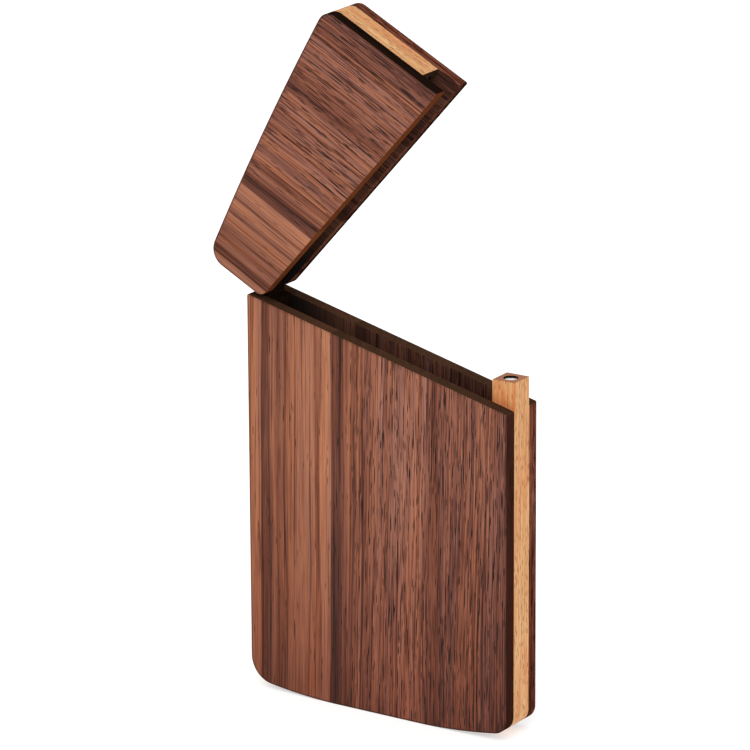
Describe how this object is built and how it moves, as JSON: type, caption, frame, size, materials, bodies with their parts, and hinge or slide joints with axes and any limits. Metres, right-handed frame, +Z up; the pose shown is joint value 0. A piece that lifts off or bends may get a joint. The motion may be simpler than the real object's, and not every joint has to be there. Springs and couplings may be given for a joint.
{
  "type": "business card case",
  "caption": "Flat wooden business card case with a slanted lid that swings open on a corner pin and is held shut by magnets.",
  "frame": {"origin": "centre of the small flat in the middle of the bottom edge, on which the case stands upright", "axes": "+Z up along the case's height, +Y towards its back, +X to its right as seen from the front; the hinge is at the left and the latch post at the right"},
  "size_m": [0.0747, 0.012, 0.1543],
  "materials": {
    "walnut": "oiled satin",
    "beech": "oiled satin",
    "nickel": "bright plated",
    "steel": "ground"
  },
  "bodies": {
    "case_body": {"body_front_panel": "walnut", "body_back_panel": "walnut", "body_frame": "beech", "post_magnet": "nickel", "hinge_pin": "steel"},
    "lid": {"lid_front_panel": "walnut", "lid_back_panel": "walnut", "lid_frame": "beech", "lid_magnet": "nickel"}
  },
  "joints": [
    {"name": "lid_hinge", "type": "hinge", "parent": "case_body", "child": "lid", "pos_m": [-0.0307, 0, 0.093], "axis": [0, -1, 0], "range_deg": [-62.3, 41.7]}
  ]
}
